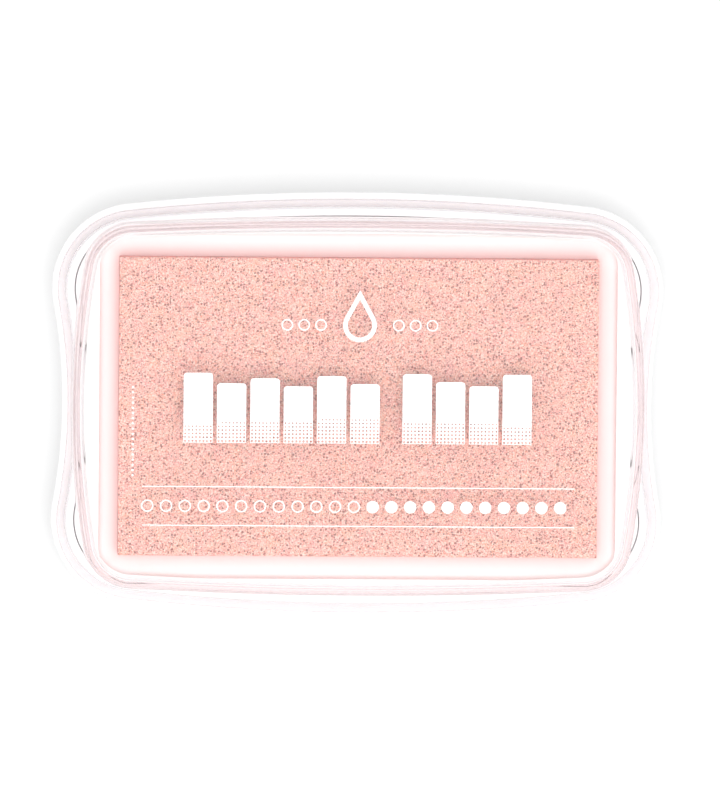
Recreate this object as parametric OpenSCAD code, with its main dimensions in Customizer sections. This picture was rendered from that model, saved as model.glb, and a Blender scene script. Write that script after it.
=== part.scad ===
// Ink pad: a clear lift-off lid over a white case that carries a raised block of inked foam.
// +X runs along the case, +Z is up, and the origin is the centre of the foot ring, where the case stands.

/* [Case] */
// Overall length of the case, along X
case_l = 95.2; // [92:0.2:98]
// Overall width of the case, along Y
case_w = 66.2; // [65.2:0.2:67.2]
// Height of the closed case, without the print on the lid
case_h = 19; // [18:0.5:22]
// Radius of the case's corners
case_r = 13.2; // [12.8:0.1:13.6]
// How far each short side dips in to make a finger grip
grip_dip = 1.65; // [1.4:0.05:1.7]
// Height of the ledge that the lid stands on
ledge_z = 7; // [6.5:0.1:7.5]
// Height of the rib that the lid fits round, above the ledge
rib_h = 2.4; // [1.8:0.1:2.6]
// Depth of the recess under the case, which nests on the next lid
nest_depth = 1.6; // [1.2:0.1:2]
// Wall thickness of the case and the tray
wall = 1.2; // [1:0.1:1.3]

/* [Lid] */
// Length of the lid's raised dome where its side walls start
dome_l = 88.8; // [88.2:0.2:89]
// Width of the lid's raised dome where its side walls start
dome_w = 58.4; // [58:0.2:59]
// Radius of the dome's corners
dome_r = 7.8; // [7.5:0.1:8.2]
// Radius of the rounded edge round the top of the dome
dome_edge_r = 2; // [1.5:0.1:2.5]
// Wall thickness of the clear lid
lid_wall = 1.3; // [1.1:0.1:1.4]
// Height of the lid's shoulder above the ledge
shoulder_h = 4; // [3.8:0.1:4.2]
// Gap between the lid's skirt and the rib inside it
skirt_gap = 0.2; // [0.2:0.05:0.3]

/* [Pad] */
// Length of the foam block, along X
foam_l = 74.2; // [72:0.2:75]
// Width of the foam block, along Y
foam_w = 46.2; // [45:0.2:47]
// Height of the inking surface
foam_top = 15.2; // [14:0.1:15.5]
// Thickness of the felt that feeds the foam
felt_t = 3.5; // [2.5:0.1:4]
// Height of the tray's deck round the foam
deck_z = 11.2; // [11:0.1:11.4]

/* [Print] */
// Thickness of the printed film on the lid
print_t = 0.06; // [0.04:0.01:0.1]
// Width of the rings' printed lines
line_t = 0.2; // [0.15:0.05:0.3]
// Width of the two printed rules
rule_t = 0.15; // [0.1:0.05:0.3]
// Length of the two printed rules
rule_l = 66.8; // [60:0.2:70]
// Heights of the printed bars, from left to right
bar_heights = [10.8, 9.2, 10, 8.8, 10.4, 9.2, 10.8, 9.6, 9, 10.8];

/* [Hidden] */
$fn = 96;
bend_steps = 4;                                  // straight steps in each rounded edge or small corner
arc_steps = 8;                                   // straight steps in each arc of an outline
through = 1;                                     // how far a cutting solid runs past what it cuts

// The case and the dome are each an outline of eight tangent arcs: four corners and four sides.
// An outline is [half sizes at mid side, corner centre, corner radius].
case_outline = [
    [case_l / 2 - grip_dip, case_w / 2],
    [case_l / 2 - case_r, case_w / 2 - 15.13],
    case_r
];
dome_outline = [[dome_l / 2, dome_w / 2], [dome_l / 2 - 9.6, dome_w / 2 - 8.7], dome_r];

// Case and lid. Insets run in from the outer face of the case.
lid_step = 0.9;                                  // the lid's skirt stands this far in from the case's edge
skirt_in = lid_step + lid_wall - 0.05;           // inner face of the lid's skirt
rib_out = skirt_in + skirt_gap;                  // outer face of the rib
rib_in = rib_out + wall;                         // inner face of the rib
floor_z = nest_depth + wall;                     // top of the case's floor
rib_z = ledge_z + rib_h;                         // top of the rib
shoulder_z = ledge_z + shoulder_h;               // top of the lid's shoulder
foot_edge = 0.4;                                 // chamfer at the foot of the case
small_edge = 0.3;                                // chamfer on every other edge
draft = 0.5;                                     // how far the case's wall leans in at its foot
dome_draft = 0.2;                                // how far the dome's wall leans in at its top

// Snap beads on the rib, two on each long side. They stay within the gap to the skirt.
bead_r = 0.5;
bead_out = 0.15;
bead_l = 7;
bead_x = 22;
bead_z = ledge_z + 1.3;

// Tray
pocket_z = 4.6;                                  // underside of the pocket
pocket_floor_z = pocket_z + wall;                // top of the pocket's floor
foam_gap = 0.1;                                  // clearance round the foam in its pocket
pocket_l = foam_l + 2 * foam_gap;
pocket_w = foam_w + 2 * foam_gap;
collar_z = deck_z + 1.2;                         // top of the raised edge round the deck
collar_in = lid_wall + 0.45;                     // inset of the collar from the dome's outline
tray_skirt_in = collar_in + 0.6;                 // inset of the tray's skirt from the dome's outline
under_deck = deck_z - wall;
flange_z = rib_z - 0.2;                          // top of the flange that centres the tray in the rib
flange_t = 1;
flange_gap = 0.15;
well_l = 80.2;                                   // the deck's flat well, inside the collar
well_w = 53.6;
well_r = 5;
peg_at = [30, 16];
peg_r = 1.5;
peg_l = 1.5;
peg_gap = 0.05;

// Pad and label
adhesive_t = 0.1;
adhesive_edge = 0.5;                             // the adhesive stops this far short of the foam's edge
felt_z = pocket_floor_z + adhesive_t;
foam_z = felt_z + felt_t;
label_size = [62, 36, 0.12];
label_r = 2;

// Print, in the plane of the lid's top
drop_y = 13;                                     // centre of the drop's round end
drop_r = 2.6;
drop_tip = 5.4;                                  // height of the drop's tip above its centre
drop_line = 0.7;
drop_steps = 24;
side_ring_x = 6;                                 // the first ring on each side of the drop
side_ring_pitch = 2.6;
side_ring_r = 0.9;
bar_w = 4.5;
bar_pitch = 5.15;
bar_x = -24.85;                                  // middle of the first bar
bar_foot = -5.3;
bar_break = 2.9;                                 // extra gap between the two groups of bars
bar_r = 0.5;
first_group = 6;                                 // bars in the first group
rules_y = [-12.1, -18.1];
row_y = -15.1;
row_x = 2.2;                                     // the first dot, where the rings end
row_pitch = 2.9;
ring_count = 12;
dot_count = 11;
dot_r = 0.95;
mark_x = -34.9;
mark_y = 3.2;                                    // top of the column of fine dots
mark_count = 18;
mark_pitch = 0.8;
mark_r = 0.18;

white = [0.96, 0.96, 0.95];
clear = [0.93, 0.95, 0.97, 0.35];
pink = [0.96, 0.68, 0.62];
felt_pink = [0.93, 0.6, 0.55];
paper = [0.94, 0.93, 0.9];

// Signed radius of the arc that joins two corners: positive bows out, negative dips in.
// a is the mid side's distance from the line of corner centres, and c is half the distance
// between those centres.
function side_radius(a, c, r) = (a * a + c * c - r * r) / (2 * (a - r));
function radius_x(o) = side_radius(o[0].x - o[1].x, o[1].y, o[2]);
function radius_y(o) = side_radius(o[0].y - o[1].y, o[1].x, o[2]);

// The eight arcs of an outline, anticlockwise from the +X side.
// Each is [centre, signed radius, start angle, end angle].
function arcs(o) =
    let (
        rx = radius_x(o),
        ry = radius_y(o),
        cx = o[1].x,
        cy = o[1].y,
        r = o[2],
        tx = asin(cy / (rx - r)),
        ty = asin(cx / (ry - r))
    )
    [
        [[o[0].x - rx, 0], rx, -tx, tx],
        [[cx, cy], r, tx, 90 - ty],
        [[0, o[0].y - ry], ry, 90 - ty, 90 + ty],
        [[-cx, cy], r, 90 + ty, 180 - tx],
        [[rx - o[0].x, 0], rx, 180 - tx, 180 + tx],
        [[-cx, -cy], r, 180 + tx, 270 - ty],
        [[0, ry - o[0].y], ry, 270 - ty, 270 + ty],
        [[cx, -cy], r, 270 + ty, 360 - tx]
    ];

// The outline's points, moved in by inset
function outline_points(o, inset) = [
    for (a = arcs(o), i = [0:arc_steps - 1])
        let (t = a[2] + (a[3] - a[2]) * i / arc_steps)
        a[0] + (a[1] - inset) * [cos(t), sin(t)]
];

// Points of an arc about centre c, radius r, from angle t0 to t1
function bend(c, r, t0, t1, steps = bend_steps) = [
    for (i = [0:steps]) let (t = t0 + (t1 - t0) * i / steps) c + r * [cos(t), sin(t)]
];

// A solid through a stack of rings, from the bottom up. Each ring is [outline, inset, height].
module loft(rings) {
    n = 8 * arc_steps;
    top = len(rings) - 1;
    foot_centre = n * len(rings);
    polyhedron(
        points = concat(
            [for (g = rings) each [for (p = outline_points(g[0], g[1])) [p.x, p.y, g[2]]]],
            [[0, 0, rings[0][2]], [0, 0, rings[top][2]]]
        ),
        faces = concat(
            [for (k = [0:top - 1], i = [0:n - 1])
                let (j = (i + 1) % n) [k * n + i, k * n + n + i, k * n + n + j, k * n + j]],
            [for (i = [0:n - 1]) [foot_centre, i, (i + 1) % n]],
            [for (i = [0:n - 1]) [foot_centre + 1, top * n + (i + 1) % n, top * n + i]]
        )
    );
}

// A flat plate inside an outline, from height z0 to z1
module plate(o, inset, z0, z1) {
    translate([0, 0, z0]) linear_extrude(z1 - z0) polygon(outline_points(o, inset));
}

// A rectangular block on the centre, from height z0 to z1
module block(l, w, z0, z1) {
    translate([-l / 2, -w / 2, z0]) cube([l, w, z1 - z0]);
}

// A rectangle with rounded corners
module rounded(l, w, r) {
    polygon([
        for (q = [[1, 1, 0], [-1, 1, 90], [-1, -1, 180], [1, -1, 270]])
            each bend([q[0] * (l / 2 - r), q[1] * (w / 2 - r)], r, q[2], q[2] + 90)
    ]);
}

module at_pegs() {
    for (x = [-1, 1], y = [-1, 1]) translate([x * peg_at.x, y * peg_at.y, 0]) children();
}

// A snap bead, set round the long side's arc so that it stands out by the same amount all along
module bead(side) {
    bow = radius_y(case_outline);
    translate([0, case_w / 2 - bow, bead_z])
        rotate(side * asin(bead_x / (bow - rib_out)))
            translate([0, bow - rib_out + bead_out - bead_r, 0])
                rotate([0, 90, 0])
                    cylinder(r = bead_r, h = bead_l, center = true);
}

// White case: outer wall, ledge for the lid, rib inside the lid, floor with peg bosses, recess underneath
module base_shell() {
    color(white) {
        difference() {
            loft([
                [case_outline, draft + foot_edge, 0],
                [case_outline, draft, foot_edge],
                [case_outline, 0, ledge_z - small_edge],
                [case_outline, small_edge, ledge_z],
                [case_outline, rib_out, ledge_z],
                [case_outline, rib_out, rib_z - small_edge],
                [case_outline, rib_out + small_edge, rib_z]
            ]);
            plate(case_outline, rib_in, floor_z, rib_z + through);
            difference() {
                loft([[case_outline, wall + draft, -through], [case_outline, wall, ledge_z - wall]]);
                plate(case_outline, rib_out, nest_depth, ledge_z);
            }
        }
        difference() {
            at_pegs() translate([0, 0, nest_depth]) cylinder(r = peg_r + wall, h = pocket_z - nest_depth);
            at_pegs() translate([0, 0, floor_z]) cylinder(r = peg_r + peg_gap, h = pocket_z);
        }
        for (y = [0, 1], side = [-1, 1]) mirror([0, y, 0]) bead(side);
    }
}

// White tray: collar and deck round the foam, pocket under it, skirt with a flange that centres it in the rib,
// pegs down into the case's floor
module pad_tray() {
    color(white)
        difference() {
            union() {
                loft([
                    [dome_outline, collar_in, under_deck],
                    [dome_outline, collar_in, collar_z - small_edge],
                    [dome_outline, collar_in + small_edge, collar_z]
                ]);
                difference() {
                    plate(dome_outline, tray_skirt_in, floor_z, deck_z - wall / 2);
                    plate(dome_outline, tray_skirt_in + wall, floor_z - through, under_deck);
                }
                difference() {
                    plate(case_outline, rib_in + flange_gap, flange_z - flange_t, flange_z);
                    plate(dome_outline, tray_skirt_in + wall / 2, flange_z - flange_t - through, flange_z + through);
                }
                block(pocket_l + 2 * wall, pocket_w + 2 * wall, pocket_z, deck_z - wall / 2);
                at_pegs() translate([0, 0, pocket_z - peg_l]) cylinder(r = peg_r, h = peg_l + wall / 2);
            }
            translate([0, 0, deck_z]) linear_extrude(wall + through) rounded(well_l, well_w, well_r);
            block(pocket_l, pocket_w, pocket_floor_z, collar_z + through);
        }
}

// Double-sided film that holds the felt to the pocket's floor
module tray_adhesive() {
    color([0.95, 0.95, 0.9])
        block(foam_l - 2 * adhesive_edge, foam_w - 2 * adhesive_edge, pocket_floor_z, felt_z);
}

// Felt under the foam, the store of ink
module reservoir_felt() {
    color(felt_pink) block(foam_l, foam_w, felt_z, foam_z);
}

// Inked foam, raised above the deck so that a stamp or a hand can press on it
module ink_foam() {
    color(pink) block(foam_l, foam_w, foam_z, foam_top);
}

// Plain paper label in the recess under the case
module underside_label() {
    color(paper)
        translate([0, 0, nest_depth - label_size.z])
            linear_extrude(label_size.z)
                rounded(label_size.x, label_size.y, label_r);
}

// Clear lid: skirt round the rib, shoulder, dome wall and flat top
module lid_shell() {
    shoulder_under = shoulder_z - lid_wall;
    edge_centre = [dome_draft + dome_edge_r, case_h - dome_edge_r];
    color(clear)
        difference() {
            loft(concat(
                [
                    [case_outline, lid_step, ledge_z],
                    [case_outline, lid_step, shoulder_z - small_edge],
                    [case_outline, lid_step + small_edge, shoulder_z],
                    [dome_outline, 0, shoulder_z]
                ],
                [for (p = bend(edge_centre, dome_edge_r, 180, 90)) [dome_outline, p.x, p.y]]
            ));
            loft(concat(
                [
                    [case_outline, skirt_in, ledge_z - through],
                    [case_outline, skirt_in, shoulder_under],
                    [dome_outline, lid_wall, shoulder_under]
                ],
                [for (p = bend(edge_centre, dome_edge_r - lid_wall, 180, 90)) [dome_outline, p.x, p.y]]
            ));
        }
}

// Each print is a thin film of white ink on the lid's top.
module film() {
    color("white") translate([0, 0, case_h]) linear_extrude(print_t) children();
}

// A drop of ink, centred on its round end
module drop(r, tip) {
    lean = acos(r / tip);
    polygon(concat([[0, tip]], bend([0, 0], r, 90 + lean, 450 - lean, drop_steps)));
}

module ring(r) {
    difference() {
        circle(r);
        circle(r - line_t);
    }
}

// Outlined drop with a row of three small rings on each side
module print_drop() {
    film() translate([0, drop_y]) {
        difference() {
            drop(drop_r, drop_tip);
            drop(drop_r - drop_line, drop_tip - 2 * drop_line);
        }
        for (side = [-1, 1], i = [0:2])
            translate([side * (side_ring_x + i * side_ring_pitch), 0]) ring(side_ring_r);
    }
}

// Plain solid bars of uneven height, in two groups
module print_bars() {
    film()
        for (i = [0:len(bar_heights) - 1]) {
            x = bar_x + i * bar_pitch + (i < first_group ? 0 : bar_break);
            translate([x, bar_foot + bar_heights[i] / 2]) rounded(bar_w, bar_heights[i], bar_r);
        }
}

// Two fine rules that frame the row of rings and dots
module print_rules() {
    film() for (y = rules_y) translate([-rule_l / 2, y - rule_t / 2]) square([rule_l, rule_t]);
}

module print_rings() {
    film() for (i = [1:ring_count]) translate([row_x - i * row_pitch, row_y]) ring(dot_r);
}

module print_dots() {
    film() for (i = [0:dot_count - 1]) translate([row_x + i * row_pitch, row_y]) circle(dot_r);
}

// A column of fine dots by the short side
module print_side_mark() {
    film() for (i = [0:mark_count - 1]) translate([mark_x, mark_y - i * mark_pitch]) circle(mark_r);
}

base_shell();
pad_tray();
tray_adhesive();
reservoir_felt();
ink_foam();
underside_label();
lid_shell();
print_drop();
print_bars();
print_rules();
print_rings();
print_dots();
print_side_mark();
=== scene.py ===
"""Looks of a closed craft ink pad: clear lid, white case and tray, inked foam and white print.

Lengths are in millimetres until a mesh is made. +X runs along the case, +Y is towards the top of the
lid's print and +Z is up.
"""

import math

import bmesh
import bpy
import numpy as np
from mathutils import Matrix, Vector, kdtree, noise


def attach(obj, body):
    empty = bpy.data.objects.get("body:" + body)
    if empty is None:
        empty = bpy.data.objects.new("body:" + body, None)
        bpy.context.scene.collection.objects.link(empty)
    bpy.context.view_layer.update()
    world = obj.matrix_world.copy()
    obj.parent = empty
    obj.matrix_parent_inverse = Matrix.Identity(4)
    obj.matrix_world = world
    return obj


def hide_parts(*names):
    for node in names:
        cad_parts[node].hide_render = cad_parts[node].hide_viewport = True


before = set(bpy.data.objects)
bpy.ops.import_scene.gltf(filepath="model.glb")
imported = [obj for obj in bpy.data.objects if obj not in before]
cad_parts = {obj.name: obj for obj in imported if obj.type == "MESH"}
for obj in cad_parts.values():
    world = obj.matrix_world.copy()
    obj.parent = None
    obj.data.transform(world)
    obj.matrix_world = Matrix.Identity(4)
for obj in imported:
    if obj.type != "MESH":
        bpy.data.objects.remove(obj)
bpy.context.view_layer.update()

MM = 0.001
SEED = 7
ARC_STEPS = 24  # points on each of an outline's eight arcs
RING_POINTS = 8 * ARC_STEPS
FILLET_STEPS = 5
POST_STEPS = 32
BEAD_RINGS, BEAD_POINTS = 25, 16

# Dimensions. They follow the part's, except for the gap round the foam
CASE_L, CASE_W, CASE_H = 95.2, 66.2, 19.0
CASE_R, GRIP_DIP = 13.2, 1.65
CASE_CORNER_IN = 15.13  # from a long side to the centres of its corners
LEDGE_Z, RIB_Z = 7.0, 9.4
NEST_Z, FLOOR_Z = 1.6, 2.8
WALL = 1.2
DRAFT = 0.5
DOME_L, DOME_W, DOME_R = 88.8, 58.4, 7.8
DOME_CORNER_IN_X, DOME_CORNER_IN_Y = 9.6, 8.7
DOME_EDGE_R, DOME_DRAFT = 2.0, 0.2
LID_WALL, LID_STEP = 1.3, 0.9
SHOULDER_Z = LEDGE_Z + 4.0
SKIRT_IN = LID_STEP + LID_WALL - 0.05
RIB_OUT = SKIRT_IN + 0.2
RIB_IN = RIB_OUT + WALL
BEAD_L, BEAD_X, BEAD_Z = 7.0, 22.0, LEDGE_Z + 1.3
BEAD_OUT, BEAD_HALF = 0.15, 0.36
FOAM_L, FOAM_W, FOAM_TOP, FOAM_Z = 74.2, 46.2, 15.2, 9.4
FOAM_GAP = 0.03
FELT_Z = 5.9
POCKET_Z, POCKET_FLOOR_Z = 4.6, 5.8
POCKET_L, POCKET_W = FOAM_L + 2 * FOAM_GAP, FOAM_W + 2 * FOAM_GAP
DECK_Z, COLLAR_Z = 11.2, 12.4
UNDER_DECK = DECK_Z - WALL
COLLAR_IN = LID_WALL + 0.45
TRAY_SKIRT_IN = COLLAR_IN + 0.6
FLANGE_Z, FLANGE_T, FLANGE_IN = RIB_Z - 0.2, 1.0, RIB_IN + 0.15
WELL_L, WELL_W, WELL_R = 80.2, 53.6, 5.0
PEG_X, PEG_Y, PEG_R = 30.0, 16.0, 1.5
PEG_L, PEG_TIP, PEG_GAP = 1.5, 0.3, 0.05
PRINT_T = 0.06

ROOT = 0.2  # how far a post or a bead starts inside the solid that carries it
FACE_IN = 6  # from a profile's last edge to the rim of the flat face that closes it

# ---------------------------------------------------------------- outlines


class Outline:
    """Eight tangent arcs: four corners and four sides, each side bowed out or dipped in."""

    def __init__(self, half_x, half_y, corner_x, corner_y, r):
        self.half_x, self.half_y = half_x, half_y
        self.corner_x, self.corner_y, self.r = corner_x, corner_y, r
        self.radius_x = self.side_radius(half_x - corner_x, corner_y)
        self.radius_y = self.side_radius(half_y - corner_y, corner_x)

    def side_radius(self, a, c):
        """Signed radius of the arc that joins two corners: positive bows out, negative dips in."""
        return (a * a + c * c - self.r**2) / (2 * (a - self.r))

    def arcs(self):
        """(centre, signed radius, start angle, end angle) of each arc, anticlockwise from the +X side."""
        rx, ry, cx, cy, r = self.radius_x, self.radius_y, self.corner_x, self.corner_y, self.r
        tx, ty = math.asin(cy / (rx - r)), math.asin(cx / (ry - r))
        quarter = math.pi / 2
        return [
            ((self.half_x - rx, 0), rx, -tx, tx),
            ((cx, cy), r, tx, quarter - ty),
            ((0, self.half_y - ry), ry, quarter - ty, quarter + ty),
            ((-cx, cy), r, quarter + ty, math.pi - tx),
            ((rx - self.half_x, 0), rx, math.pi - tx, math.pi + tx),
            ((-cx, -cy), r, math.pi + tx, 3 * quarter - ty),
            ((0, ry - self.half_y), ry, 3 * quarter - ty, 3 * quarter + ty),
            ((cx, -cy), r, 3 * quarter + ty, 2 * math.pi - tx),
        ]

    def ring(self, inset):
        """The outline's points, moved in by inset."""
        points = []
        for (x, y), radius, start, end in self.arcs():
            t = start + (end - start) * np.arange(ARC_STEPS) / ARC_STEPS
            reach = radius - inset
            points.append(np.stack([x + reach * np.cos(t), y + reach * np.sin(t)], 1))
        return np.concatenate(points)


class Rectangle:
    """A rectangle with round corners, with as many points as an Outline has, in the same order."""

    def __init__(self, length, width, r):
        self.half_x, self.half_y, self.r = length / 2, width / 2, r

    def ring(self, inset):
        """The rectangle's points, moved in by inset."""
        r = max(self.r - inset, 0.01)
        cx, cy = self.half_x - inset - r, self.half_y - inset - r
        step = np.arange(ARC_STEPS) / ARC_STEPS
        points = []
        for quarter, (sx, sy) in enumerate(((1, 1), (-1, 1), (-1, -1), (1, -1))):
            turn = quarter * math.pi / 2
            t = turn + math.pi / 2 * np.arange(ARC_STEPS) / ARC_STEPS
            corner = np.stack([sx * cx + r * np.cos(t), sy * cy + r * np.sin(t)], 1)
            along = np.array([-math.sin(turn), math.cos(turn)])
            half = cy if quarter % 2 == 0 else cx
            start = corner[0] - 2 * half * along
            points += [start + 2 * half * step[:, None] * along, corner]
        return np.concatenate(points)


case = Outline(
    CASE_L / 2 - GRIP_DIP, CASE_W / 2, CASE_L / 2 - CASE_R, CASE_W / 2 - CASE_CORNER_IN, CASE_R
)
dome = Outline(
    DOME_L / 2, DOME_W / 2, DOME_L / 2 - DOME_CORNER_IN_X, DOME_W / 2 - DOME_CORNER_IN_Y, DOME_R
)
# Near its four corners the well is wider than the bowed collar, so the tray's mesh crosses itself there
well = Rectangle(WELL_L, WELL_W, WELL_R)
pocket = Rectangle(POCKET_L, POCKET_W, 0.1)
pocket_wall = Rectangle(POCKET_L + 2 * WALL, POCKET_W + 2 * WALL, 0.6)


def path(outline, corners):
    """A profile beside an outline, as (outline, inset, height) of each point.

    corners are (inset, height, fillet radius).
    """
    points = []
    for i, (x, z, r) in enumerate(corners):
        here = np.array([x, z], float)
        if r == 0 or i in (0, len(corners) - 1):
            points.append(here)
            continue
        before = np.array(corners[i - 1][:2], float) - here
        after = np.array(corners[i + 1][:2], float) - here
        before /= np.linalg.norm(before)
        after /= np.linalg.norm(after)
        half = math.acos(np.clip(before @ after, -1, 1)) / 2
        reach = r / math.tan(half)
        middle = (before + after) / np.linalg.norm(before + after)
        centre = here + middle * r / math.sin(half)
        a, b = here + before * reach - centre, here + after * reach - centre
        sweep = math.pi - 2 * half
        for k in range(FILLET_STEPS + 1):
            t = k / FILLET_STEPS
            arm = math.sin((1 - t) * sweep) * a + math.sin(t * sweep) * b
            points.append(centre + arm / math.sin(sweep))
    return [(outline, p[0], p[1]) for p in points]


# ---------------------------------------------------------------- meshes


def add_object(name, data):
    made = bpy.data.objects.new(name, data)
    bpy.context.scene.collection.objects.link(made)
    return made


def new_piece(name, vertices, faces, smooth_angle=40):
    mesh = bpy.data.meshes.new(name)
    mesh.from_pydata([tuple(v) for v in np.asarray(vertices) * MM], [], faces)
    mesh.validate()
    build = bmesh.new()
    build.from_mesh(mesh)
    bmesh.ops.recalc_face_normals(build, faces=build.faces)
    for f in build.faces:
        f.smooth = True
    for e in build.edges:
        e.smooth = len(e.link_faces) != 2 or e.calc_face_angle(0) < math.radians(smooth_angle)
    build.to_mesh(mesh)
    build.free()
    return add_object(name, mesh)


def skin(rings):
    """Vertices and faces of a solid over rings that have as many points each, closed at its two ends."""
    n = len(rings[0])
    faces = []
    for k in range(len(rings) - 1):
        for i in range(n):
            j = (i + 1) % n
            faces.append((k * n + i, k * n + j, (k + 1) * n + j, (k + 1) * n + i))
    faces.append(tuple(range(n)))
    faces.append(tuple((len(rings) - 1) * n + i for i in range(n)))
    return np.concatenate(rings), faces


def loft(profile):
    """A solid over the rings of a profile."""
    return skin([np.c_[outline.ring(inset), np.full(RING_POINTS, z)] for outline, inset, z in profile])


def merge(*solids):
    """Several solids' vertices and faces as one."""
    vertices, faces, count = [], [], 0
    for v, f in solids:
        vertices.append(v)
        faces += [tuple(i + count for i in face) for face in f]
        count += len(v)
    return np.concatenate(vertices), faces


def post(x, y, profile):
    """A turned post with its axis at (x, y). profile is (radius, height) from one end to the other."""
    t = 2 * math.pi * np.arange(POST_STEPS) / POST_STEPS
    return skin([np.c_[x + r * np.cos(t), y + r * np.sin(t), np.full(POST_STEPS, z)] for r, z in profile])


def posts_at_pegs(profile):
    """The same post at each of the four pegs."""
    return [post(x, y, profile) for x in (-PEG_X, PEG_X) for y in (-PEG_Y, PEG_Y)]


def bead(side, mirror):
    """A snap bead on the rib's long side, swelling from nothing at its two ends."""
    bow = case.radius_y - RIB_OUT
    middle = side * math.asin(BEAD_X / bow)
    t = np.linspace(0, 2 * math.pi, BEAD_POINTS, endpoint=False)
    rings = []
    for u in np.linspace(-1, 1, BEAD_RINGS):
        swell = math.sqrt(max(1 - abs(u) ** 6, 0.0001))
        angle = middle + u * BEAD_L / 2 / bow
        radius = bow - ROOT + (BEAD_OUT + ROOT) * swell * np.cos(t)
        height = BEAD_Z + BEAD_HALF * swell * np.sin(t)
        y = case.half_y - case.radius_y + radius * math.cos(angle)
        rings.append(np.stack([radius * math.sin(angle), y * mirror, height], 1))
    return skin(rings)


def make_case():
    wall = loft(path(case, [
        (RIB_IN + FACE_IN, FLOOR_Z, 0),
        (RIB_IN, FLOOR_Z, 0.5),
        (RIB_IN, RIB_Z, 0.15),
        (RIB_OUT, RIB_Z, 0.3),
        (RIB_OUT, LEDGE_Z, 0.2),
        (0, LEDGE_Z, 0.3),
        (DRAFT, 0, 0.4),
        (DRAFT + WALL, 0, 0.3),
        (WALL, LEDGE_Z - WALL, 0.3),
        (RIB_OUT, LEDGE_Z - WALL, 0.3),
        (RIB_OUT, NEST_Z, 0.2),
        (RIB_IN + FACE_IN, NEST_Z, 0),
    ]))
    bosses = posts_at_pegs([
        (PEG_R + WALL, NEST_Z + ROOT),
        (PEG_R + WALL, POCKET_Z),
        (PEG_R + PEG_GAP, POCKET_Z),
        (PEG_R + PEG_GAP, FLOOR_Z),
    ])
    beads = [bead(side, mirror) for side in (-1, 1) for mirror in (-1, 1)]
    return new_piece("case", *merge(wall, *bosses, *beads))


def make_tray():
    # Where one path ends and the next starts at the same height, a flat face joins the two outlines
    shell = loft(
        path(pocket, [
            (FACE_IN, POCKET_FLOOR_Z, 0),
            (0, POCKET_FLOOR_Z, 0.3),
            (0, DECK_Z, 0.06),
            (-0.8, DECK_Z, 0),
        ])
        + path(well, [(1.0, DECK_Z, 0), (0, DECK_Z, 0.6), (0, COLLAR_Z, 0.1), (-0.12, COLLAR_Z, 0)])
        + path(dome, [
            (COLLAR_IN + 0.2, COLLAR_Z, 0),
            (COLLAR_IN, COLLAR_Z, 0.18),
            (COLLAR_IN, UNDER_DECK, 0.15),
            (TRAY_SKIRT_IN, UNDER_DECK, 0.1),
            (TRAY_SKIRT_IN, FLANGE_Z, 0.15),
            (TRAY_SKIRT_IN - 0.17, FLANGE_Z, 0),
        ])
        + path(case, [
            (FLANGE_IN + 0.2, FLANGE_Z, 0),
            (FLANGE_IN, FLANGE_Z, 0.18),
            (FLANGE_IN, FLANGE_Z - FLANGE_T, 0.18),
            (FLANGE_IN + 0.2, FLANGE_Z - FLANGE_T, 0),
        ])
        + path(dome, [
            (TRAY_SKIRT_IN - 0.17, FLANGE_Z - FLANGE_T, 0),
            (TRAY_SKIRT_IN, FLANGE_Z - FLANGE_T, 0.15),
            (TRAY_SKIRT_IN, FLOOR_Z, 0.15),
            (TRAY_SKIRT_IN + WALL, FLOOR_Z, 0.15),
            (TRAY_SKIRT_IN + WALL, UNDER_DECK, 0.1),
            (TRAY_SKIRT_IN + WALL + 0.12, UNDER_DECK, 0),
        ])
        + path(pocket_wall, [
            (-0.12, UNDER_DECK, 0),
            (0, UNDER_DECK, 0.1),
            (0, POCKET_Z, 0.3),
            (FACE_IN, POCKET_Z, 0),
        ])
    )
    pegs = posts_at_pegs([
        (PEG_R, POCKET_Z + ROOT),
        (PEG_R, POCKET_Z - PEG_L + PEG_TIP),
        (PEG_R - PEG_TIP, POCKET_Z - PEG_L),
    ])
    return new_piece("tray", *merge(shell, *pegs))


def make_lid():
    under = SHOULDER_Z - LID_WALL
    top_in = DOME_DRAFT + DOME_EDGE_R + 1
    profile = (
        path(dome, [
            (top_in, CASE_H, 0),
            (DOME_DRAFT, CASE_H, DOME_EDGE_R),
            (0, SHOULDER_Z, 0.25),
            (-0.25, SHOULDER_Z, 0),
        ])
        + path(case, [
            (LID_STEP + 0.3, SHOULDER_Z, 0),
            (LID_STEP, SHOULDER_Z, 0.25),
            (LID_STEP, LEDGE_Z, 0.15),
            (SKIRT_IN, LEDGE_Z, 0.15),
            (SKIRT_IN, under, 0.25),
            (SKIRT_IN + 0.3, under, 0),
        ])
        + path(dome, [
            (LID_WALL - 0.3, under, 0),
            (LID_WALL, under, 0.25),
            (LID_WALL + DOME_DRAFT, CASE_H - LID_WALL, DOME_EDGE_R - LID_WALL),
            (top_in, CASE_H - LID_WALL, 0),
        ])
    )
    return new_piece("lid", *loft(profile))


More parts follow.
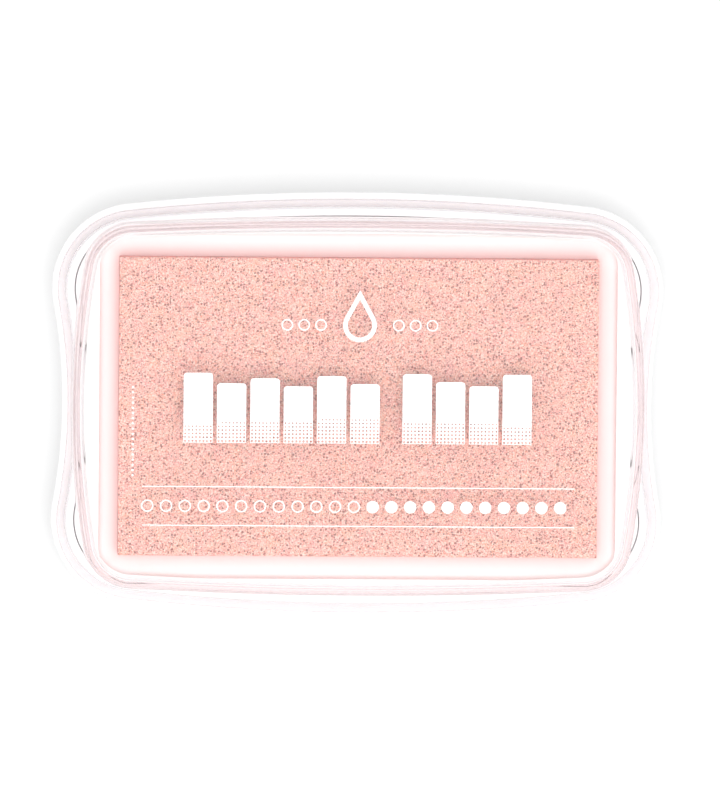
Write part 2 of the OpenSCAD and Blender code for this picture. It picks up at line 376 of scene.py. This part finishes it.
def make_block(name, length, width, low, high, pitch, layers, relief, edge):
    """A soft block with edges of radius edge.

    relief(points) gives how far each point of the top and sides sinks in along its normal.
    """
    half_l, half_w = length / 2, width / 2
    nx, ny = round(length / pitch), round(width / pitch)
    xs, ys = np.linspace(-half_l, half_l, nx + 1), np.linspace(-half_w, half_w, ny + 1)
    top = np.stack(np.meshgrid(xs, ys, indexing="ij"), -1).reshape(-1, 2)
    vertices = np.c_[top, np.full(len(top), high)]
    faces = [
        (i * (ny + 1) + j, (i + 1) * (ny + 1) + j, (i + 1) * (ny + 1) + j + 1, i * (ny + 1) + j + 1)
        for i in range(nx)
        for j in range(ny)
    ]
    ring = (
        [i * (ny + 1) for i in range(nx)]
        + [nx * (ny + 1) + j for j in range(ny)]
        + [i * (ny + 1) + ny for i in range(nx, 0, -1)]
        + list(range(ny, 0, -1))
    )
    n = len(ring)
    edge_points = vertices[ring]
    for k in range(1, layers + 1):
        z = high + (low - high) * k / layers
        first = len(vertices)
        vertices = np.concatenate([vertices, np.c_[edge_points[:, :2], np.full(n, z)]])
        lower = list(range(first, first + n))
        faces += [(ring[i], ring[(i + 1) % n], lower[(i + 1) % n], lower[i]) for i in range(n)]
        ring = lower
    faces.append(tuple(ring))
    inner = np.array([half_l - edge, half_w - edge, (high - low) / 2 - edge])
    centre = np.array([0, 0, (low + high) / 2])
    core = np.clip(vertices - centre, -inner, inner)
    out = vertices - centre - core
    normal = out / np.maximum(np.linalg.norm(out, axis=1), 1e-9)[:, None]
    reach = edge - relief(vertices)
    return new_piece(name, centre + core + normal * reach[:, None], faces, smooth_angle=80)


def unevenness(points, size, depth):
    """Smooth random unevenness from 0 to depth, with features about size wide."""
    return np.array([depth * (0.5 + 0.5 * noise.noise(Vector(p / size))) for p in points])


PIT_SPACING, PIT_RADII, PIT_DEPTH = 0.85, (0.12, 0.24), 0.2


def pits(points, lows, highs, spacing, radii, depth):
    """How far each point sinks into the foam's open cells, round hollows all over its top and sides."""
    rng = np.random.default_rng(SEED)
    spans = highs - lows
    areas = (
        (2, spans[0] * spans[1]),
        (1, 2 * spans[0] * spans[2]),
        (0, 2 * spans[1] * spans[2]),
    )
    spots = []
    for axis, area in areas:
        spot = lows + spans * rng.random((round(area / spacing**2), 3))
        if axis == 2:
            spot[:, axis] = highs[axis]
        else:
            spot[:, axis] = np.where(rng.random(len(spot)) < 0.5, lows[axis], highs[axis])
        spots.append(spot)
    spots = np.concatenate(spots)
    sizes = radii[0] + (radii[1] - radii[0]) * rng.random(len(spots)) ** 2
    tree = kdtree.KDTree(len(points))
    for i, p in enumerate(points):
        tree.insert(p, i)
    tree.balance()
    sunk = np.zeros(len(points))
    for spot, r in zip(spots, sizes):
        for _, i, distance in tree.find_range(spot, r):
            sunk[i] = max(sunk[i], depth * r / radii[1] * (1 - (distance / r) ** 2))
    return sunk


def keep_values(piece, name, values):
    """Stores one number for each of a piece's points, for its material to read."""
    attribute = piece.data.attributes.new(name, "FLOAT", "POINT")
    attribute.data.foreach_set("value", np.asarray(values, np.float32))


def make_foam():
    lows = np.array([-FOAM_L / 2, -FOAM_W / 2, FOAM_Z])
    highs = np.array([FOAM_L / 2, FOAM_W / 2, FOAM_TOP])
    kept = {}

    def relief(points):
        kept["pits"] = pits(points, lows, highs, PIT_SPACING, PIT_RADII, PIT_DEPTH)
        return kept["pits"] + unevenness(points, 6.0, 0.06) + unevenness(points, 0.45, 0.03)

    swell = 0.12  # larger by this before the relief is taken off, so that the foam fills its pocket
    length, width = FOAM_L + swell, FOAM_W + swell
    foam = make_block(
        "foam", length, width, FOAM_Z, FOAM_TOP, pitch=0.21, layers=16, relief=relief, edge=0.15
    )
    keep_values(foam, "pit", kept["pits"] / PIT_DEPTH)
    return foam


def make_felt():
    def relief(points):
        return unevenness(points, 3.0, 0.12) + unevenness(points, 0.8, 0.1)

    return make_block("felt", FOAM_L, FOAM_W, FELT_Z, FOAM_Z, pitch=0.6, layers=6, relief=relief, edge=0.3)


# ---------------------------------------------------------------- print on the lid

BAR_HEIGHTS = (10.8, 9.2, 10.0, 8.8, 10.4, 9.2, 10.8, 9.6, 9.0, 10.8)
BAR_W, BAR_PITCH, BAR_X, BAR_Y = 4.5, 5.15, -24.85, -5.3
BAR_R, BAR_CORNER_POINTS = 0.5, 7
WORD_GAP, WORD_END = 2.9, 6  # an extra gap after the sixth bar
HOLE_PITCH = BAR_W / 8
HOLE_STEPS = 16  # a multiple of 8, so that neighbouring cells share their corners
SHADE_TOP = 3.7  # the holes' upper limit above the foot, at the middle of the title
SHADE_BEND = 0.0013  # how that limit drops away from the middle
HOLE_SMALL, HOLE_LARGE = 0.44, 0.74  # parts of half a cell
WELD = 0.001  # points this close become one


def perforated_bar(x, height):
    """A flat bar with round holes near its foot, in cells that get larger holes further down."""
    left, foot, half = x - BAR_W / 2, BAR_Y, HOLE_PITCH / 2
    columns, rows = round(BAR_W / HOLE_PITCH), math.ceil(SHADE_TOP / HOLE_PITCH)
    turns = 2 * math.pi * np.arange(HOLE_STEPS) / HOLE_STEPS
    square = []
    for t in turns:
        longest = max(abs(math.cos(t)), abs(math.sin(t)))
        square.append((math.cos(t) / longest, math.sin(t) / longest))
    vertices, faces = [], []

    def add(points):
        vertices.extend(points)
        return range(len(vertices) - len(points), len(vertices))

    for row in range(rows):
        for column in range(columns):
            cx, cy = left + (column + 0.5) * HOLE_PITCH, foot + (row + 0.5) * HOLE_PITCH
            rim = add([(cx + half * u, cy + half * v) for u, v in square])
            depth = 1 - (cy - foot + SHADE_BEND * cx**2) / SHADE_TOP
            if depth < 0:
                faces.append(tuple(rim))
                continue
            r = half * (HOLE_SMALL + (HOLE_LARGE - HOLE_SMALL) * depth)
            hole = add([(cx + r * math.cos(t), cy + r * math.sin(t)) for t in turns])
            faces += [(rim[i - 1], rim[i], hole[i], hole[i - 1]) for i in range(HOLE_STEPS)]
    outline = [
        (left + (column + 0.5) * HOLE_PITCH + half * u, foot + rows * HOLE_PITCH)
        for column in range(columns)
        for u, v in sorted(square)
        if v > 0.999
    ]
    right, top = x + BAR_W / 2, foot + height
    arc = np.linspace(0, math.pi / 2, BAR_CORNER_POINTS)
    outline += [(right - BAR_R * (1 - math.cos(t)), top - BAR_R * (1 - math.sin(t))) for t in arc]
    outline += [(left + BAR_R * (1 - math.sin(t)), top - BAR_R * (1 - math.cos(t))) for t in arc]
    faces.append(tuple(add(outline)))
    return vertices, faces


def make_bars():
    build = bmesh.new()
    for i, height in enumerate(BAR_HEIGHTS):
        x = BAR_X + BAR_PITCH * i + (WORD_GAP if i >= WORD_END else 0)
        vertices, faces = perforated_bar(x, height)
        made = [build.verts.new((u * MM, v * MM, CASE_H * MM)) for u, v in vertices]
        for face in faces:
            build.faces.new([made[k] for k in face])
    bmesh.ops.remove_doubles(build, verts=build.verts, dist=WELD * MM)
    bmesh.ops.dissolve_degenerate(build, edges=build.edges, dist=WELD * MM)
    raised = bmesh.ops.extrude_face_region(build, geom=list(build.faces), use_keep_orig=True)
    upper = [part for part in raised["geom"] if isinstance(part, bmesh.types.BMVert)]
    bmesh.ops.translate(build, vec=(0, 0, PRINT_T * MM), verts=upper)
    bmesh.ops.recalc_face_normals(build, faces=build.faces)
    mesh = bpy.data.meshes.new("title_bars")
    build.to_mesh(mesh)
    build.free()
    return add_object("title_bars", mesh)


# ---------------------------------------------------------------- materials


class Look:
    """A material: its Principled shader, and short calls that add nodes. Positions are in millimetres."""

    def __init__(self, name, **values):
        self.material = bpy.data.materials.new(name)
        self.material.use_nodes = True
        self.tree = self.material.node_tree
        self.shader = self.tree.nodes["Principled BSDF"]
        self.output = self.tree.nodes["Material Output"]
        for key, value in values.items():
            self.shader.inputs[key.replace("_", " ")].default_value = value
        place = self.node("TexCoord").outputs["Object"]
        scaled = self.node("VectorMath", operation="SCALE", Vector=place, Scale=1 / MM)
        self.place = scaled.outputs["Vector"]

    def node(self, kind, sockets=None, **values):
        """A new node. Values that name a property set it, and the others set or feed the sockets of that
        name. sockets does the same by number."""
        made = self.tree.nodes.new("ShaderNode" + kind)
        for key, value in values.items():
            if hasattr(made, key):
                setattr(made, key, value)
            else:
                self.feed(made.inputs[key.replace("_", " ")], value)
        for index, value in (sockets or {}).items():
            self.feed(made.inputs[index], value)
        return made

    def feed(self, socket, value):
        if isinstance(value, bpy.types.NodeSocket):
            self.tree.links.new(value, socket)
        else:
            socket.default_value = value

    def noise(self, per_mm, detail=2.0, roughness=0.5, stretch=None):
        place = self.place
        if stretch:
            stretched = self.node("VectorMath", {1: stretch}, operation="MULTIPLY", Vector=place)
            place = stretched.outputs["Vector"]
        made = self.node("TexNoise", Vector=place, Scale=per_mm, Detail=detail, Roughness=roughness)
        return made.outputs["Fac"]

    def cells(self, per_mm):
        return self.node("TexVoronoi", Vector=self.place, Scale=per_mm)

    def spots(self, per_mm, small, large):
        """Round spots scattered at random, from small to large parts of their spacing. Many are small."""
        cell = self.cells(per_mm)
        chance = self.node("SeparateColor", Color=cell.outputs["Color"]).outputs[0]
        reach = self.span(chance, 0.2, 1.0, small, large)
        return self.span(self.calculate("SUBTRACT", reach, cell.outputs["Distance"]), 0.0, SPOT_EDGE)

    def span(self, value, from_low, from_high, to_low=0.0, to_high=1.0):
        """A value carried from one range to another, and held at the ends."""
        sockets = {0: value, 1: from_low, 2: from_high, 3: to_low, 4: to_high}
        return self.node("MapRange", sockets).outputs[0]

    def calculate(self, operation, a, b=0.0):
        return self.node("Math", {0: a, 1: b}, operation=operation).outputs[0]

    def blend(self, factor, a, b):
        """Colour a where factor is 0 and colour b where it is 1."""
        return self.node("Mix", {0: factor, 6: a, 7: b}, data_type="RGBA").outputs[2]

    def use(self, socket, value):
        self.feed(self.shader.inputs[socket], value)

    def bump(self, height, distance):
        """distance is in millimetres for a height of 1."""
        made = self.node("Bump", Height=height, Distance=distance * MM)
        self.use("Normal", made.outputs["Normal"])


EDGE_REFLECTION_DENSITY = 20.0  # per metre: only long ways through the plastic turn pink, a painted reflection of the foam's colour in the lid's edges
POLYSTYRENE_IOR = 1.59
SPOT_EDGE = 0.06  # width of a spot's soft edge, as a part of the spots' spacing
# Painted light: the pink on the tray's deck round the foam stands for light bounced off the pink foam,
# fading away from its edges.
PAINTED_GLOW, PAINTED_GLOW_REACH, PAINTED_GLOW_FADE = (0.94, 0.68, 0.65), 4.8, 2.7
PAINTED_GLOW_TOP = DECK_Z + 0.3  # the collar above this gets none of the painted glow


def rgb(r, g, b):
    return (r, g, b, 1.0)


def moulded_white(name, tone, shade, roughness, grain, painted_glow=False):
    """Opaque white polystyrene: satin from the mould, with faint flow marks and a very fine grain.
    On the tray the deck round the foam gets painted pink light, the foam's colour bounced onto it."""
    look = Look(name, Subsurface_Weight=0.15, Subsurface_Radius=(1, 0.9, 0.8), IOR=POLYSTYRENE_IOR)
    look.use("Subsurface Scale", 0.6 * MM)
    flow = look.noise(0.05, 3, stretch=(0.4, 1, 1))
    colour = look.blend(flow, rgb(*tone), rgb(*shade))
    if painted_glow:
        # Painted light: a pink glow bounced off the foam, painted on the deck and fading with distance
        # from the foam.
        look.use("Specular IOR Level", 0.2)
        split = look.node("SeparateXYZ", Vector=look.place).outputs
        beside = look.calculate("SUBTRACT", look.calculate("ABSOLUTE", split["X"]), FOAM_L / 2)
        beyond = look.calculate("SUBTRACT", look.calculate("ABSOLUTE", split["Y"]), FOAM_W / 2)
        away = look.calculate("MAXIMUM", beside, beyond)
        low = look.calculate("LESS_THAN", split["Z"], PAINTED_GLOW_TOP)
        glow_mask = look.calculate("POWER", look.span(away, PAINTED_GLOW_REACH, 0.0), PAINTED_GLOW_FADE)
        colour = look.blend(look.calculate("MULTIPLY", glow_mask, low), colour, rgb(*PAINTED_GLOW))
    look.use("Base Color", colour)
    fine = look.noise(2.2, 3, 0.6)
    half_flow, half_fine = look.calculate("MULTIPLY", flow, 0.5), look.calculate("MULTIPLY", fine, 0.5)
    mixed = look.calculate("ADD", half_flow, half_fine)
    look.use("Roughness", look.span(mixed, 0.3, 0.7, roughness[0], roughness[1]))
    look.bump(fine, grain)
    return look.material


def clear_plastic():
    """Crystal polystyrene. Shadow and diffuse rays go straight through it, so that what is inside is lit
    as if in air."""
    tint, through_tint, reflection_pink = rgb(0.985, 0.99, 0.995), rgb(0.98, 0.98, 0.982), rgb(0.97, 0.3, 0.32)
    look = Look("clear_plastic", Transmission_Weight=1.0, IOR=POLYSTYRENE_IOR, Base_Color=tint)
    scuffs = look.noise(0.6, 4, 0.6, stretch=(0.3, 1.6, 1))
    look.use("Roughness", look.span(scuffs, 0.45, 0.75, 0.008, 0.035))
    look.bump(look.noise(0.045, 1), 0.02)
    ray = look.node("LightPath").outputs
    unbent = look.calculate("MAXIMUM", ray["Is Shadow Ray"], ray["Is Diffuse Ray"])
    through = look.node("BsdfTransparent", Color=through_tint)
    mixed = look.node("MixShader", {0: unbent, 1: look.shader.outputs[0], 2: through.outputs[0]})
    look.feed(look.output.inputs["Surface"], mixed.outputs[0])
    # Painted reflection: the pink absorption stands for the foam's colour caught in the lid's thick edges.
    body = look.node("VolumeAbsorption", Color=reflection_pink, Density=EDGE_REFLECTION_DENSITY)
    look.feed(look.output.inputs["Volume"], body.outputs[0])
    return look.material


def inked_foam():
    """Fine open-cell inked foam: pink to peach, a wet grain, and painted shade in its cell mouths and
    pits.
    """
    pink, peach, pale = rgb(0.70, 0.22, 0.19), rgb(0.75, 0.30, 0.18), rgb(0.95, 0.69, 0.61)
    side_shade_red, mouth_shade_red = rgb(0.84, 0.16, 0.12), rgb(0.27, 0.06, 0.045)
    look = Look("inked_foam", Subsurface_Weight=0.5, Subsurface_Radius=(1, 0.12, 0.1))
    look.use("Subsurface Scale", 2.0 * MM)
    look.use("Specular IOR Level", 0.35)
    drift = look.noise(0.4, 4, 0.65)
    drifted = look.blend(look.span(drift, 0.35, 0.65), pink, peach)
    grain = look.noise(4.5, 1, 0.6)
    grained = look.blend(look.span(grain, 0.35, 0.68), drifted, pale)
    large_mouths = look.spots(2.3, 0.14, 0.44)
    small_mouths = look.spots(4.6, 0.1, 0.46)
    pit = look.node("Attribute", attribute_name="pit").outputs["Fac"]
    # Painted shade: the cell mouths and the sunk pits are darkened in colour, as hollows in shade.
    mouths = look.calculate("MAXIMUM", large_mouths, look.calculate("MULTIPLY", small_mouths, 0.85))
    hollow_shade = look.calculate("MAXIMUM", mouths, look.span(pit, 0.15, 0.9))
    # The sides are painted a deeper, darker red: painted shade on the foam's sides.
    height = look.node("SeparateXYZ", Vector=look.place).outputs["Z"]
    side = look.span(height, FOAM_TOP - 0.1, FOAM_TOP - 0.4)
    body = look.blend(look.calculate("MULTIPLY", side, 0.7), grained, side_shade_red)
    look.use("Base Color", look.blend(look.calculate("MULTIPLY", hollow_shade, 0.9), body, mouth_shade_red))
    look.use("Roughness", look.span(grain, 0.3, 0.7, 0.42, 0.62))
    look.bump(look.calculate("SUBTRACT", grain, mouths), 0.05)
    return look.material


def inked_felt():
    """Felt soaked with the same ink: fibres lying in every direction, deeper in colour than the foam."""
    deep, pale = rgb(0.62, 0.24, 0.2), rgb(0.8, 0.45, 0.38)
    look = Look("inked_felt", Roughness=0.7, Subsurface_Weight=0.2, Subsurface_Radius=(1, 0.4, 0.35))
    look.use("Subsurface Scale", 0.5 * MM)
    along = look.noise(3, 3, 0.7, stretch=(0.15, 1, 1))
    across = look.noise(3, 3, 0.7, stretch=(1, 0.15, 1))
    fibres = look.calculate("MAXIMUM", along, across)
    look.use("Base Color", look.blend(look.span(fibres, 0.45, 0.75), deep, pale))
    look.bump(fibres, 0.12)
    return look.material


def adhesive_film():
    """A thin milky acrylic film with small trapped bubbles."""
    milky, bubble = rgb(0.9, 0.88, 0.86), rgb(0.8, 0.76, 0.72)
    look = Look("adhesive_film", Roughness=0.25, IOR=1.47)
    bubbles = look.cells(0.5).outputs["Distance"]
    look.use("Base Color", look.blend(look.span(bubbles, 0.1, 0.2), milky, bubble))
    look.bump(look.span(bubbles, 0.0, 0.25), 0.02)
    return look.material


def label_paper():
    """Coated label paper with a printed band in the ink's colour and two rules. It carries no text."""
    shade, light = rgb(0.82, 0.81, 0.79), rgb(0.87, 0.865, 0.85)
    band_ink, rule_ink = rgb(0.78, 0.42, 0.36), rgb(0.3, 0.3, 0.32)
    half_print = 24.0  # half the length of the band and the rules
    look = Look("label_paper", Roughness=0.45)
    fibre = look.noise(4, 4, 0.7, stretch=(0.5, 1, 1))
    paper = look.blend(look.span(fibre, 0.3, 0.7), shade, light)
    split = look.node("SeparateXYZ", Vector=look.place).outputs
    across = look.calculate("ABSOLUTE", split["X"])
    height = split["Y"]

    def within(value, middle, half):
        distance = look.calculate("ABSOLUTE", look.calculate("SUBTRACT", value, middle))
        return look.calculate("LESS_THAN", distance, half)

    def both(a, b):
        return look.calculate("MULTIPLY", a, b)

    band = both(within(height, 6.0, 5.0), within(across, 0.0, half_print))
    rules = look.calculate("MAXIMUM", within(height, -5.0, 0.2), within(height, -9.0, 0.2))
    ruled = both(rules, within(across, 0.0, half_print))
    printed = look.blend(band, paper, band_ink)
    look.use("Base Color", look.blend(ruled, printed, rule_ink))
    look.bump(fibre, 0.008)
    return look.material


def white_print():
    """Pad-printed white ink, a little uneven where the pad lifted."""
    thin, full = rgb(0.9, 0.9, 0.9), rgb(0.95, 0.95, 0.95)
    look = Look("white_print", Roughness=0.5)
    patchy = look.noise(1.6, 4, 0.65)
    look.use("Base Color", look.blend(look.span(patchy, 0.35, 0.7), thin, full))
    look.use("Roughness", look.span(patchy, 0.3, 0.7, 0.42, 0.6))
    look.bump(patchy, 0.006)
    return look.material


def dress(piece, material):
    piece.data.materials.clear()
    piece.data.materials.append(material)
    return piece


# ---------------------------------------------------------------- the object

case_white = moulded_white(
    "case_white", (0.86, 0.862, 0.865), (0.84, 0.842, 0.85), roughness=(0.3, 0.42), grain=0.004
)
tray_white = moulded_white(
    "tray_white",
    (0.90, 0.897, 0.892),
    (0.88, 0.877, 0.872),
    roughness=(0.24, 0.36),
    grain=0.003,
    painted_glow=True,
)
ink_white = white_print()

base_pieces = [
    (make_case(), case_white, "base_shell", "case_white"),
    (make_tray(), tray_white, "pad_tray", "tray_white"),
    (make_felt(), inked_felt(), "reservoir_felt", "inked_felt"),
    (make_foam(), inked_foam(), "ink_foam", "inked_foam"),
]
lid_pieces = [
    (make_lid(), clear_plastic(), "lid_shell", "clear_plastic"),
    (make_bars(), ink_white, "print_bars", "white_print"),
]
for body, pieces in (("base", base_pieces), ("lid", lid_pieces)):
    for piece, material, node, slot in pieces:
        dress(piece, material)
        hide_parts(node)
        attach(piece, body)

dress(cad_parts["tray_adhesive"], adhesive_film())
dress(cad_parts["underside_label"], label_paper())
for node in ("print_drop", "print_rules", "print_rings", "print_dots", "print_side_mark"):
    dress(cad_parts[node], ink_white)

# ---------------------------------------------------------------- studio

# The camera is a little to the -X and +Y side
VIEW_LEAN_X, VIEW_LEAN_Y, VIEW_ROLL = math.radians(-1.7), math.radians(3.6), math.radians(0.5)
VIEW_DISTANCE, VIEW_END = 1.3, 10.0  # in metres
VIEW_SPAN = 125.4 * MM  # height of the field at the ledge
AIM = Vector((0.47, 0.31, LEDGE_Z)) * MM
SENSOR = 36.0
KEY_SIDE, KEY_FRONT, KEY_UP = 0.08, -0.28, 1.0
KEY_DISTANCE, KEY_SIZE, KEY_POWER = 0.9, 0.56, 2.6
SKY_HORIZON, SKY_ZENITH = 0.3, 1.58
FLOOR_HALF = 2.0  # in metres
FLOOR_GLOW = 0.33  # keeps the shadows on the table light


def make_camera():
    camera = add_object("camera", bpy.data.cameras.new("camera"))
    camera.data.sensor_width = SENSOR
    camera.data.lens = SENSOR * VIEW_DISTANCE / VIEW_SPAN
    camera.data.clip_end = VIEW_END
    back = Vector((math.tan(VIEW_LEAN_X), math.tan(VIEW_LEAN_Y), 1)).normalized()
    right = Vector((0, 1, 0)).cross(back).normalized()
    up = back.cross(right)
    turn = Matrix.Rotation(VIEW_ROLL, 3, back)
    axes = Matrix([turn @ right, turn @ up, back]).transposed()
    camera.matrix_world = Matrix.Translation(AIM + back * VIEW_DISTANCE) @ axes.to_4x4()
    bpy.context.scene.camera = camera


def make_key():
    lamp = bpy.data.lights.new("key", "AREA")
    lamp.shape = "DISK"
    lamp.size = KEY_SIZE
    lamp.energy = KEY_POWER
    key = add_object("key", lamp)
    towards = Vector((KEY_SIDE, KEY_FRONT, KEY_UP)).normalized()
    key.location = towards * KEY_DISTANCE
    key.rotation_euler = towards.to_track_quat("Z", "Y").to_euler()
    # The lid's flat top would mirror it
    key.visible_glossy = False
    key.visible_transmission = False


def make_sky():
    world = bpy.data.worlds.new("sky")
    world.use_nodes = True
    tree = world.node_tree
    way = tree.nodes.new("ShaderNodeTexCoord").outputs["Generated"]
    split = tree.nodes.new("ShaderNodeSeparateXYZ")
    tree.links.new(way, split.inputs[0])
    rise = tree.nodes.new("ShaderNodeMapRange")
    for index, value in enumerate((0.0, 1.0, SKY_HORIZON, SKY_ZENITH), 1):
        rise.inputs[index].default_value = value
    tree.links.new(split.outputs["Z"], rise.inputs[0])
    tree.nodes["Background"].inputs["Color"].default_value = rgb(1, 1, 1)
    tree.links.new(rise.outputs[0], tree.nodes["Background"].inputs["Strength"])
    bpy.context.scene.world = world


def make_floor():
    corners = [(x * FLOOR_HALF, y * FLOOR_HALF, 0) for x, y in ((-1, -1), (1, -1), (1, 1), (-1, 1))]
    mesh = bpy.data.meshes.new("floor")
    mesh.from_pydata(corners, [], [(0, 1, 2, 3)])
    floor = add_object("floor", mesh)
    look = Look("white_table", Roughness=0.6, Emission_Color=rgb(1, 1, 1), Emission_Strength=FLOOR_GLOW)
    look.use("Base Color", look.blend(look.noise(0.02, 2), rgb(0.51, 0.51, 0.51), rgb(0.53, 0.53, 0.53)))
    dress(floor, look.material)


make_camera()
make_key()
make_sky()
make_floor()
bpy.context.scene.view_settings.view_transform = "Standard"
cycles = bpy.context.scene.cycles
cycles.transparent_max_bounces = 24
cycles.max_bounces = 32
cycles.diffuse_bounces = 12
cycles.transmission_bounces = 32
cycles.glossy_bounces = 16
